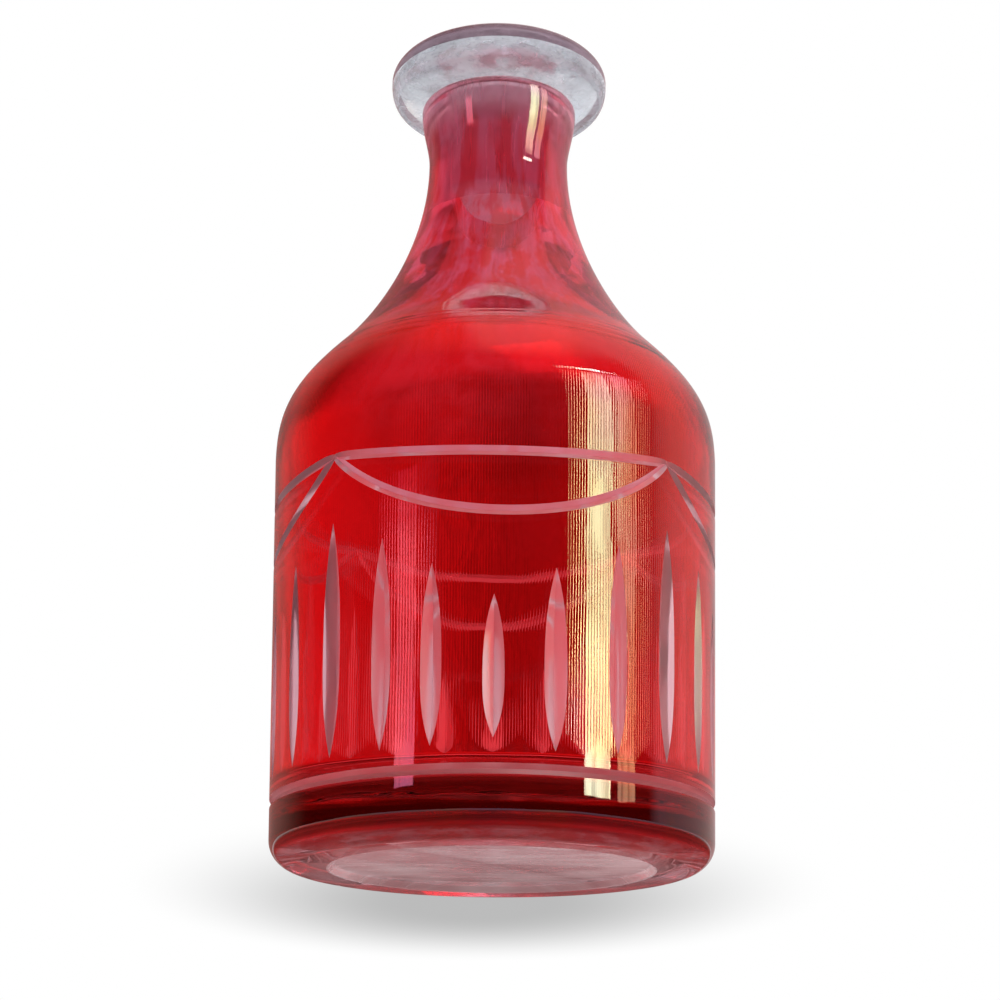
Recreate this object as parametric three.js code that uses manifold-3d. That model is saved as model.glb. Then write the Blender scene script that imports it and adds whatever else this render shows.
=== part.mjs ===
// A ruby-stained cut glass decanter with a clear disc stopper ground into its neck.
// Millimetres, +Z up. The origin is the middle of the base, on the table.
// The middle of one swag faces -Y.

import * as THREE from 'three';
import { mergeVertices } from 'three/addons/utils/BufferGeometryUtils.js';
import Module from 'manifold-3d';

const wasm = await Module();
wasm.setup();

// Facets round the turned forms
const TURN_STEPS = 72;

// The bottle's outside
const BASE_RADIUS = 53.0;
const SHOULDER_RADIUS = 55.2;
const WALL_BOTTOM = 6.2;
const WALL_TOP = 100.3;
const HEEL_INSET = 6.2;
const SHOULDER_BULGE = 11.0;
const SHOULDER_EDGE = [53.5, 116.8];
const SHOULDER_MIDDLE = [41.8, 128.6];
const NECK_SWEEP = [32.5, 138.0];
const NECK_RADIUS = 18.2;
const NECK_WAIST = 185.3;
const NECK_STRAIGHT = 25.3;
const RIM_RADIUS = 20.4;
const RIM_TOP = 202.2;
const RIM_ROUND = 1.6;

// The underside: a flat ring to stand on, round a shallow ground hollow
const FOOT_INNER_RADIUS = 39.2;
const HOLLOW_DEPTH = 1.6;
const HOLLOW_RADIUS = 36.8;

// The bottle's inside
const WALL = 4.4;
const FLOOR_TOP = 12.8;
const FLOOR_CORNER = 9.0;
const INNER_WALL_TOP = 99.3;
const INNER_BULGE = 10.0;
const INNER_EDGE = [48.2, 115.6];
const INNER_SHOULDER = [39.5, 124.5];
const INNER_SWEEP = [30.5, 134.0];
const BORE_WIDENING = [13.0, 156.6];
const BORE_BOTTOM = 169.6;
const BORE_RADIUS = 12.0;
const BORE_MOUTH_RADIUS = 13.1;
const MOUTH_BEVEL = 0.6;

// The stopper. Its plug keeps a fit's gap to the ground bore, and its head to the rim
const FIT_GAP = 0.3;
const PLUG_BOTTOM = 173.6;
const PLUG_CHAMFER = 0.8;
const HEAD_SEAT_RADIUS = 20.5;
const HEAD_CONE = [26.8, 203.9];
const HEAD_LOWER_ROUND = [27.9, 204.7];
const HEAD_LOWER_CORNER = [28.5, 206.2];
const HEAD_RADIUS = 28.6;
const HEAD_EDGE_BOTTOM = 208.3;
const HEAD_EDGE_TOP = 209.6;
const HEAD_SIDE_PULL = 1.5;
const HEAD_UPPER_ROUND = [27.5, 213.0];
const HEAD_TOP_EDGE = [25.2, 213.9];
const HEAD_TOP = 214.9;

// The cuts, all made by wheels whose edge is a V with this half angle
const WHEEL_HALF_ANGLE = THREE.MathUtils.degToRad(55);
const CUT_CLEARANCE = 0.6;

const SWAG_COUNT = 4;
const FLUTE_BELLY = 0.42;
const FLUTE_FULLNESS = 2.6;
// The flutes of one swag, cut by eye: degrees from the swag's middle, the heights of the two ends
// and the depth at the belly. The last one stands under the cusp.
const FLUTES = [
  [-29.8, 19.3, 67.6, 1.75],
  [-16.9, 19.6, 60.6, 1.75],
  [-2.0, 21.2, 53.2, 1.75],
  [12.8, 18.6, 59.8, 1.9],
  [29.1, 19.3, 66.8, 1.75],
  [45.0, 19.2, 73.6, 2.0],
];

const SWAG_DEPTH = 0.8;
const CUSP_HEIGHT = 89.8;
const UPPER_ARC_LOW = 86.6;
const LOWER_ARC_LOW = 72.6;

const RING_HEIGHT = 14.5;
const RING_HALF_WIDTH = 1.2;
const RING_DEPTH = 0.6;

const FRONT = -Math.PI / 2;

const vector = ([radius, height]) => new THREE.Vector2(radius, height);

function bend(start, pullStart, pullEnd, end, steps) {
  const curve = new THREE.CubicBezierCurve(
    vector(start),
    vector(pullStart),
    vector(pullEnd),
    vector(end),
  );
  return curve.getPoints(steps);
}

function quarterRound(centre, radius, fromAngle, toAngle, steps) {
  const [x, y] = centre;
  const curve = new THREE.EllipseCurve(
    x,
    y,
    radius,
    radius,
    fromAngle,
    toAngle,
    toAngle < fromAngle,
  );
  return curve.getPoints(steps);
}

// The bottle's outer radius on its almost straight wall
function wallRadius(height) {
  const share = (height - WALL_BOTTOM) / (WALL_TOP - WALL_BOTTOM);
  return BASE_RADIUS + share * (SHOULDER_RADIUS - BASE_RADIUS);
}

// Three.js geometry as a solid: position only, with shared corners merged and no empty triangles
function solidFrom(geometry) {
  const bare = new THREE.BufferGeometry();
  bare.setAttribute('position', geometry.getAttribute('position'));
  bare.setIndex(geometry.getIndex());
  const merged = mergeVertices(bare, 1e-4);
  const corners = merged.getIndex().array;
  const kept = [];
  for (let i = 0; i < corners.length; i += 3) {
    const [a, b, c] = [corners[i], corners[i + 1], corners[i + 2]];
    if (a !== b && b !== c && c !== a) {
      kept.push(a, b, c);
    }
  }
  const mesh = new wasm.Mesh({
    numProp: 3,
    vertProperties: new Float32Array(merged.getAttribute('position').array),
    triVerts: new Uint32Array(kept),
  });
  return new wasm.Manifold(mesh);
}

function geometryFrom(solid) {
  const mesh = solid.getMesh();
  const geometry = new THREE.BufferGeometry();
  geometry.setAttribute(
    'position',
    new THREE.BufferAttribute(new Float32Array(mesh.vertProperties), 3),
  );
  geometry.setIndex(new THREE.BufferAttribute(new Uint32Array(mesh.triVerts), 1));
  geometry.computeVertexNormals();
  return geometry;
}

// Turns a profile of radius and height, from the axis round to the axis again, about Z
function turned(profile) {
  const geometry = new THREE.LatheGeometry(profile, TURN_STEPS);
  geometry.rotateX(Math.PI / 2);
  return solidFrom(geometry);
}

// A V-shaped cutter along a path over the wall. Each station has an angle, a height and a depth.
function wheelCut(stations) {
  const centres = stations.map(({ angle, height }) => {
    const radius = wallRadius(height);
    return new THREE.Vector3(radius * Math.cos(angle), radius * Math.sin(angle), height);
  });
  const positions = [];
  stations.forEach(({ angle, depth }, i) => {
    const before = centres[Math.max(i - 1, 0)];
    const after = centres[Math.min(i + 1, centres.length - 1)];
    const outward = new THREE.Vector3(Math.cos(angle), Math.sin(angle), 0);
    const along = after.clone().sub(before).normalize();
    const sideways = new THREE.Vector3().crossVectors(along, outward).normalize();
    const halfWidth = (depth + CUT_CLEARANCE) * Math.tan(WHEEL_HALF_ANGLE);
    const apex = centres[i].clone().addScaledVector(outward, -depth);
    const top = centres[i].clone().addScaledVector(outward, CUT_CLEARANCE);
    const left = top.clone().addScaledVector(sideways, -halfWidth);
    const right = top.clone().addScaledVector(sideways, halfWidth);
    positions.push(...apex, ...left, ...right);
  });
  const faces = [0, 2, 1];
  for (let i = 0; i < stations.length - 1; i += 1) {
    for (let k = 0; k < 3; k += 1) {
      const here = 3 * i + k;
      const beside = 3 * i + ((k + 1) % 3);
      faces.push(here, beside, beside + 3, here, beside + 3, here + 3);
    }
  }
  const last = 3 * (stations.length - 1);
  faces.push(last, last + 1, last + 2);
  const geometry = new THREE.BufferGeometry();
  geometry.setAttribute('position', new THREE.Float32BufferAttribute(positions, 3));
  geometry.setIndex(faces);
  return solidFrom(geometry);
}

// A pointed upright groove: deepest and widest at its belly, running out at both ends
function flute(angle, bottom, top, deepest) {
  const steps = 8;
  const stations = [];
  for (let i = 0; i <= steps; i += 1) {
    const share = i / steps;
    const reach = share < FLUTE_BELLY ? FLUTE_BELLY : 1 - FLUTE_BELLY;
    const offset = (share - FLUTE_BELLY) / reach;
    const height = bottom + share * (top - bottom);
    const fullness = 1 - Math.abs(offset) ** FLUTE_FULLNESS;
    stations.push({ angle, height, depth: deepest * fullness });
  }
  return wheelCut(stations);
}

function flutes() {
  const cuts = [];
  for (let i = 0; i < SWAG_COUNT; i += 1) {
    const middle = FRONT + (i * 2 * Math.PI) / SWAG_COUNT;
    for (const [degrees, bottom, top, deepest] of FLUTES) {
      cuts.push(flute(middle + THREE.MathUtils.degToRad(degrees), bottom, top, deepest));
    }
  }
  return cuts;
}

// A hanging arc between two cusps: a circle's arc on the wall when the wall is laid out flat
function hangingArc(middleAngle, lowest) {
  const steps = 12;
  const halfTurn = Math.PI / SWAG_COUNT;
  const halfSpan = halfTurn * wallRadius(CUSP_HEIGHT);
  const drop = CUSP_HEIGHT - lowest;
  const arcRadius = (halfSpan ** 2 + drop ** 2) / (2 * drop);
  const stations = [];
  for (let i = 0; i <= steps; i += 1) {
    const share = (2 * i) / steps - 1;
    const rise = arcRadius - Math.sqrt(arcRadius ** 2 - (share * halfSpan) ** 2);
    stations.push({
      angle: middleAngle + share * halfTurn,
      height: lowest + rise,
      depth: SWAG_DEPTH,
    });
  }
  return wheelCut(stations);
}

function swags() {
  const cuts = [];
  for (let i = 0; i < SWAG_COUNT; i += 1) {
    const middle = FRONT + (i * 2 * Math.PI) / SWAG_COUNT;
    cuts.push(hangingArc(middle, UPPER_ARC_LOW), hangingArc(middle, LOWER_ARC_LOW));
  }
  return cuts;
}

function bottleOutside() {
  const heelCentre = [BASE_RADIUS - HEEL_INSET, HEEL_INSET];
  const rimShare = (RIM_TOP - RIM_ROUND - NECK_WAIST) / 3;
  const ringRadius = wallRadius(RING_HEIGHT);
  return [
    vector([0, HOLLOW_DEPTH]),
    vector([HOLLOW_RADIUS, HOLLOW_DEPTH]),
    vector([FOOT_INNER_RADIUS, 0]),
    ...quarterRound(heelCentre, HEEL_INSET, -Math.PI / 2, 0, 4),
    vector([wallRadius(RING_HEIGHT - RING_HALF_WIDTH), RING_HEIGHT - RING_HALF_WIDTH]),
    vector([ringRadius - RING_DEPTH, RING_HEIGHT]),
    vector([wallRadius(RING_HEIGHT + RING_HALF_WIDTH), RING_HEIGHT + RING_HALF_WIDTH]),
    ...bend(
      [SHOULDER_RADIUS, WALL_TOP],
      [SHOULDER_RADIUS, WALL_TOP + SHOULDER_BULGE],
      SHOULDER_EDGE,
      SHOULDER_MIDDLE,
      7,
    ),
    ...bend(
      SHOULDER_MIDDLE,
      NECK_SWEEP,
      [NECK_RADIUS, NECK_WAIST - NECK_STRAIGHT],
      [NECK_RADIUS, NECK_WAIST],
      7,
    ).slice(1),
    ...bend(
      [NECK_RADIUS, NECK_WAIST],
      [NECK_RADIUS, NECK_WAIST + rimShare],
      [RIM_RADIUS, RIM_TOP - RIM_ROUND - rimShare],
      [RIM_RADIUS, RIM_TOP - RIM_ROUND],
      3,
    ).slice(1),
    ...quarterRound(
      [RIM_RADIUS - RIM_ROUND, RIM_TOP - RIM_ROUND],
      RIM_ROUND,
      0,
      Math.PI / 2,
      2,
    ).slice(1),
  ];
}

// From the mouth down the bore, under the shoulder and over the floor to the axis
function bottleInside() {
  const innerRadius = SHOULDER_RADIUS - WALL;
  const floorRadius = BASE_RADIUS - WALL;
  const cornerCentre = [floorRadius - FLOOR_CORNER, FLOOR_TOP + FLOOR_CORNER];
  return [
    vector([BORE_MOUTH_RADIUS + MOUTH_BEVEL, RIM_TOP]),
    vector([BORE_MOUTH_RADIUS, RIM_TOP - MOUTH_BEVEL]),
    ...bend(
      [BORE_RADIUS, BORE_BOTTOM],
      BORE_WIDENING,
      INNER_SWEEP,
      INNER_SHOULDER,
      7,
    ),
    ...bend(
      INNER_SHOULDER,
      INNER_EDGE,
      [innerRadius, INNER_WALL_TOP + INNER_BULGE],
      [innerRadius, INNER_WALL_TOP],
      3,
    ).slice(1),
    ...quarterRound(cornerCentre, FLOOR_CORNER, 0, -Math.PI / 2, 3),
    vector([0, FLOOR_TOP]),
  ];
}

function bottle() {
  const blank = turned([...bottleOutside(), ...bottleInside()]);
  const cuts = wasm.Manifold.union([...flutes(), ...swags()]);
  const geometry = geometryFrom(blank.subtract(cuts));
  const rubyGlass = new THREE.MeshStandardMaterial({
    color: 0xa80a12,
    roughness: 0.06,
    metalness: 0,
    flatShading: true,
  });
  const mesh = new THREE.Mesh(geometry, rubyGlass);
  mesh.name = 'decanter_body';
  return mesh;
}

// The ground bore's radius at a height, a straight taper from its foot to the mouth
function boreRadius(height) {
  const share = (height - BORE_BOTTOM) / (RIM_TOP - MOUTH_BEVEL - BORE_BOTTOM);
  return BORE_RADIUS + share * (BORE_MOUTH_RADIUS - BORE_RADIUS);
}

// The plug, which tapers with the bore, and a disc head with a coned underside and an upright edge
function stopper() {
  const seat = RIM_TOP + FIT_GAP;
  const plugRadius = (height) => boreRadius(height) - FIT_GAP;
  const edgeBottom = [HEAD_RADIUS, HEAD_EDGE_BOTTOM];
  const edgeTop = [HEAD_RADIUS, HEAD_EDGE_TOP];
  const profile = [
    vector([0, PLUG_BOTTOM]),
    vector([plugRadius(PLUG_BOTTOM) - PLUG_CHAMFER, PLUG_BOTTOM]),
    vector([plugRadius(PLUG_BOTTOM + PLUG_CHAMFER), PLUG_BOTTOM + PLUG_CHAMFER]),
    vector([plugRadius(seat), seat]),
    vector([HEAD_SEAT_RADIUS, seat]),
    ...bend(HEAD_CONE, HEAD_LOWER_ROUND, HEAD_LOWER_CORNER, edgeBottom, 3),
    ...bend(
      edgeTop,
      [HEAD_RADIUS, HEAD_EDGE_TOP + HEAD_SIDE_PULL],
      HEAD_UPPER_ROUND,
      HEAD_TOP_EDGE,
      4,
    ),
    vector([0, HEAD_TOP]),
  ];
  const clearGlass = new THREE.MeshStandardMaterial({
    color: 0xdfe3e0,
    roughness: 0.05,
    metalness: 0,
    flatShading: true,
  });
  const mesh = new THREE.Mesh(geometryFrom(turned(profile)), clearGlass);
  mesh.name = 'stopper';
  return mesh;
}

const decanter = new THREE.Group();
decanter.add(bottle(), stopper());

export default decanter;
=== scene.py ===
# A ruby-stained cut glass decanter with a clear disc stopper, on a small pale stage.
# Metres, +Z up. The middle of the base is the origin, and the middle of one swag faces -Y.

import math

import bpy
from bpy.props import (
    FloatProperty,
    FloatVectorProperty,
    IntProperty,
    PointerProperty,
)
from mathutils import Euler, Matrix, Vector


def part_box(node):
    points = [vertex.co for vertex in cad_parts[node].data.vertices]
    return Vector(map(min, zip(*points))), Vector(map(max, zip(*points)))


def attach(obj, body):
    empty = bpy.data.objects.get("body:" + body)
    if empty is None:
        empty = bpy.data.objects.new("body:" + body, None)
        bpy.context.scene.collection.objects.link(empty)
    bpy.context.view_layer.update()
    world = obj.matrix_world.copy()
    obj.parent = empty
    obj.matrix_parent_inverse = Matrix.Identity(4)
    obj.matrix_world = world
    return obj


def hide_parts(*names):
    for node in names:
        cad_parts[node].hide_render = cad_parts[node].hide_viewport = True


bl_info = {
    "name": "Cut Glass Decanter",
    "version": (1, 0, 0),
    "blender": (4, 5, 0),
    "location": "3D View > Sidebar > Decanter",
    "description": "Makes a ruby-stained cut glass decanter, its stopper and a stage",
    "category": "Add Mesh",
}

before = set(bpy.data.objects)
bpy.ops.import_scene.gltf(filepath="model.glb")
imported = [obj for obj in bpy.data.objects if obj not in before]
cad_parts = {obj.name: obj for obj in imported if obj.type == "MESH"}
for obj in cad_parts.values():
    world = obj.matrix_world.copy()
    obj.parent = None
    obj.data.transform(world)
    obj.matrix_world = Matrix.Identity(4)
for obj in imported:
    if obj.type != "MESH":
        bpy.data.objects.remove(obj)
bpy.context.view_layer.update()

MM = 0.001
FRONT = -math.pi / 2
SHARP_EDGE = math.radians(17)
GLASS_IOR = 1.52

BOTTLE_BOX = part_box("decanter_body")
STOPPER_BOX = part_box("stopper")
RIM_TOP = BOTTLE_BOX[1][2]
PLUG_BOTTOM = STOPPER_BOX[0][2]
HEAD_TOP = STOPPER_BOX[1][2]
BORE_BOTTOM = 169.6 * MM
MOUTH_BEVEL = 0.6 * MM
FIT_GAP = 0.3 * MM


def length(name, description, default):
    """A size in metres that shows in the user's own units."""
    return FloatProperty(
        name=name, description=description, default=default, min=0.0, unit="LENGTH", precision=5
    )


def colour(name, description, default):
    """A linear colour."""
    return FloatVectorProperty(
        name=name, description=description, default=default, size=3, min=0, max=1, subtype="COLOR"
    )


class DecanterBottleSettings(bpy.types.PropertyGroup):
    """Sizes of the bottle's turned form."""

    turn_steps: IntProperty(name="Turn Steps", description="Facets round the bottle", default=480)
    base_radius: length("Base Radius", "Outer radius above the heel", 53.0 * MM)
    shoulder_radius: length("Shoulder Radius", "Outer radius at the top of the wall", 55.2 * MM)
    wall_top: length("Wall Top", "Height where the wall bends into the shoulder", 100.3 * MM)
    heel: length("Heel", "Radius of the rounded heel", 6.2 * MM)
    neck_radius: length("Neck Radius", "Outer radius at the neck's waist", 18.2 * MM)
    neck_waist: length("Neck Waist", "Height of the neck's waist", 185.3 * MM)
    rim_radius: length("Rim Radius", "Outer radius of the rim", 20.4 * MM)
    wall: length("Wall", "Thickness of the glass wall", 4.4 * MM)
    floor_top: length("Floor Top", "Height of the floor inside", 12.8 * MM)
    bore_radius: length("Bore Radius", "Bore below the ground taper", 12.0 * MM)
    mouth_radius: length("Mouth Radius", "Bore at the mouth", 13.1 * MM)


class DecanterCutSettings(bpy.types.PropertyGroup):
    """Sizes of the wheel-cut ornament."""

    wheel_half_angle: FloatProperty(
        name="Wheel Half Angle",
        description="Half the angle of the cutting wheel's V edge",
        default=math.radians(55),
        subtype="ANGLE",
    )
    swags: IntProperty(name="Swags", description="Number of swags", default=4)
    flute_belly: FloatProperty(
        name="Belly", description="Where a flute is widest, from its lower end", default=0.42
    )
    flute_fullness: FloatProperty(
        name="Fullness", description="How long a flute keeps its width", default=2.6
    )
    swag_depth: length("Swag Depth", "Depth of the hanging lines", 0.8 * MM)
    cusp_height: length("Cusp Height", "Height of the swags' points", 89.8 * MM)
    upper_low: length("Upper Line", "Lowest height of a swag's upper line", 86.6 * MM)
    lower_low: length("Lower Line", "Lowest height of a swag's lower line", 72.6 * MM)
    ring_height: length("Ring Height", "Height of the ring cut above the base", 14.5 * MM)
    ring_depth: length("Ring Depth", "Depth of the cut ring", 0.6 * MM)


class DecanterGlassSettings(bpy.types.PropertyGroup):
    """Colours of the glass and its stain, and of the painted shade round the foot."""

    stain: colour("Stain", "What white light keeps after two stained faces", (0.72, 0.0035, 0.005))
    stain_thin: colour("Thin Stain", "The stain where it runs thin", (0.87, 0.11, 0.21))
    # Painted shade: a near-black colour for the stain round the foot, over the solid base.
    foot_painted_shade: colour("Painted Foot Shade", "Painted shade round the foot", (0.10, 0.0005, 0.0005))
    stain_rim: colour("Rim Stain", "The stain's pale upper border", (0.86, 0.42, 0.52))
    clear: colour("Clear Glass", "Unstained glass", (0.96, 0.97, 0.965))
    fine_ribs: IntProperty(
        name="Fine Ribs", description="Fine upright lines round the wall", default=508
    )


class DecanterStageSettings(bpy.types.PropertyGroup):
    """The camera's place and the light."""

    camera_distance: length("Camera Distance", "From the decanter's axis", 500 * MM)
    camera_drop: length("Camera Drop", "How far below the table the camera is", 71.6 * MM)
    camera_pitch: FloatProperty(
        name="Camera Pitch",
        description="How far the camera looks up",
        default=math.radians(18.2),
        subtype="ANGLE",
    )
    lens: FloatProperty(
        name="Lens", description="Focal length", default=75.4, unit="CAMERA", precision=1
    )


class DecanterSettings(bpy.types.PropertyGroup):
    """All settings of the decanter."""

    bottle: PointerProperty(type=DecanterBottleSettings)
    cuts: PointerProperty(type=DecanterCutSettings)
    glass: PointerProperty(type=DecanterGlassSettings)
    stage: PointerProperty(type=DecanterStageSettings)


# Profiles


class Profile:
    """A turned form's outline, drawn from the axis to the axis again. Each point is a radius and a
    height, and each stretch has the index of its material."""

    def __init__(self, *start):
        self.points = [start]
        self.finishes = []

    def line(self, finish, *points):
        self.points += points
        self.finishes += [finish] * len(points)

    def bend(self, finish, steps, pull_start, pull_end, end):
        """A cubic curve from the last point to a new one."""
        corners = (self.points[-1], pull_start, pull_end, end)
        for i in range(1, steps + 1):
            t = i / steps
            weights = ((1 - t) ** 3, 3 * (1 - t) ** 2 * t, 3 * (1 - t) * t**2, t**3)
            point = (sum(w * p[k] for w, p in zip(weights, corners)) for k in range(2))
            self.line(finish, tuple(point))

    def arc(self, finish, steps, centre, radius, from_degrees, to_degrees):
        """A circle's arc, which starts at the last point."""
        for i in range(1, steps + 1):
            angle = math.radians(from_degrees + (to_degrees - from_degrees) * i / steps)
            across, up = radius * math.cos(angle), radius * math.sin(angle)
            self.line(finish, (centre[0] + across, centre[1] + up))


def turned(name, profile, steps):
    """Turns a profile about Z."""
    points, finishes = profile.points, profile.finishes
    vertices = []
    for radius, height in points[1:-1]:
        for k in range(steps):
            angle = FRONT + 2 * math.pi * k / steps
            vertices.append((radius * math.cos(angle), radius * math.sin(angle), height))
    rings = len(points) - 2
    faces, indices = [], []
    first_pole, last_pole = len(vertices), len(vertices) + 1
    vertices += [(0, 0, points[0][1]), (0, 0, points[-1][1])]
    for k in range(steps):
        beside = (k + 1) % steps
        faces.append((first_pole, beside, k))
        indices.append(finishes[0])
        top = (rings - 1) * steps
        faces.append((top + k, top + beside, last_pole))
        indices.append(finishes[-1])
        for ring in range(rings - 1):
            low, high = ring * steps, (ring + 1) * steps
            faces.append((low + k, low + beside, high + beside, high + k))
            indices.append(finishes[ring + 1])
    mesh = bpy.data.meshes.new(name)
    mesh.from_pydata(vertices, [], faces)
    mesh.polygons.foreach_set("material_index", indices)
    mesh.update()
    return mesh


# Node trees


def opaque(colour):
    """An opaque colour from its red, green and blue, or from one number for a grey."""
    return (colour, colour, colour, 1.0) if isinstance(colour, float) else (*colour, 1.0)


class Tree:
    """Adds nodes to a tree and links them. A call returns the new node or its first output."""

    def __init__(self, tree):
        self.tree = tree

    def feed(self, socket, source):
        """Links a socket to an output, or gives it a value or a colour."""
        if isinstance(source, bpy.types.NodeSocket):
            self.tree.links.new(source, socket)
        elif socket.type == "RGBA":
            socket.default_value = opaque(source)
        else:
            socket.default_value = source

    def add(self, kind, inputs=None, **settings):
        node = self.tree.nodes.new(kind)
        for name, value in settings.items():
            setattr(node, name, value)
        for name, source in (inputs or {}).items():
            self.feed(node.inputs[name], source)
        return node

    def math(self, operation, *values):
        node = self.add("ShaderNodeMath", operation=operation)
        for socket, value in zip(node.inputs, values):
            self.feed(socket, value)
        return node.outputs[0]

    def vector(self, x, y, z):
        return self.add("ShaderNodeCombineXYZ", {"X": x, "Y": y, "Z": z}).outputs[0]

    def ramp(self, value, from_low, from_high, low=0.0, high=1.0):
        """A smooth step from low to high as the value goes between two marks."""
        node = self.add(
            "ShaderNodeMapRange",
            {
                "Value": value,
                "From Min": from_low,
                "From Max": from_high,
                "To Min": low,
                "To Max": high,
            },
            interpolation_type="SMOOTHSTEP",
        )
        return node.outputs[0]

    def band(self, value, rise_from, rise_to, fall_from, fall_to):
        """A smooth step up to one and a smooth step down again."""
        fall = self.ramp(value, fall_from, fall_to, 1.0, 0.0)
        return self.math("MULTIPLY", self.ramp(value, rise_from, rise_to), fall)

    def scale(self, value, *stops):
        """A colour for a value, eased between stops. Each stop is a value and its colour."""
        low, high = stops[0][0], stops[-1][0]
        share = self.math("DIVIDE", self.math("SUBTRACT", value, low), high - low)
        node = self.add("ShaderNodeValToRGB", {"Fac": share})
        ramp = node.color_ramp
        ramp.interpolation = "EASE"
        for i, (mark, colour) in enumerate(stops):
            place = (mark - low) / (high - low)
            element = ramp.elements[i] if i < 2 else ramp.elements.new(place)
            element.position = place
            element.color = opaque(colour)
        return node.outputs["Color"]

    def mix(self, share, first, second):
        """A blend of two colours."""
        node = self.add("ShaderNodeMix", data_type="RGBA")
        self.feed(node.inputs["Factor"], share)
        self.feed(node.inputs[6], first)
        self.feed(node.inputs[7], second)
        return node.outputs[2]

    def noise(self, place, scale, detail=2.0, rough=0.5):
        node = self.add(
            "ShaderNodeTexNoise",
            {"Vector": place, "Scale": scale, "Detail": detail, "Roughness": rough},
        )
        return node.outputs[0]

    def grain(self, place, scale, detail=2.0, rough=0.5):
        """Noise with a scale of its own along each axis."""
        stretched = self.add("ShaderNodeMapping", {"Vector": place, "Scale": scale}).outputs[0]
        return self.noise(stretched, 1.0, detail, rough)

    def bump(self, height, depth):
        """The normal of a relief that is so many metres deep."""
        inputs = {"Height": height, "Strength": 1.0, "Distance": depth}
        return self.add("ShaderNodeBump", inputs).outputs[0]

    def places(self, operation, first, second):
        """Two places added, subtracted or divided, axis by axis."""
        inputs = {0: first, 1: second}
        return self.add("ShaderNodeVectorMath", inputs, operation=operation).outputs[0]

    def reach(self, place):
        """How far a place is from the origin."""
        return self.add("ShaderNodeVectorMath", {0: place}, operation="LENGTH").outputs["Value"]

    def blend(self, share, first, second):
        """A blend of two shaders."""
        return self.add("ShaderNodeMixShader", {0: share, 1: first, 2: second}).outputs[0]

    def glow(self, tint, strength=1.0):
        """Light of its own."""
        inputs = {"Color": tint, "Strength": strength}
        return self.add("ShaderNodeEmission", inputs).outputs[0]


class MaterialTree(Tree):
    """A new material's tree, with its Principled shader and the place of each point."""

    def __init__(self, name):
        self.material = bpy.data.materials.new(name)
        self.material.use_nodes = True
        super().__init__(self.material.node_tree)
        self.shader = self.tree.nodes["Principled BSDF"]
        self.place = self.add("ShaderNodeTexCoord").outputs["Object"]
        self.height = self.add("ShaderNodeSeparateXYZ", {"Vector": self.place}).outputs["Z"]

    def show(self, name, source):
        """Gives one of the shader's inputs a value or an output to follow."""
        self.feed(self.shader.inputs[name], source)

    def surface(self, source):
        """Shows a mixed shader in place of the plain one."""
        self.feed(self.tree.nodes["Material Output"].inputs["Surface"], source)


# Wheel cuts


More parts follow.
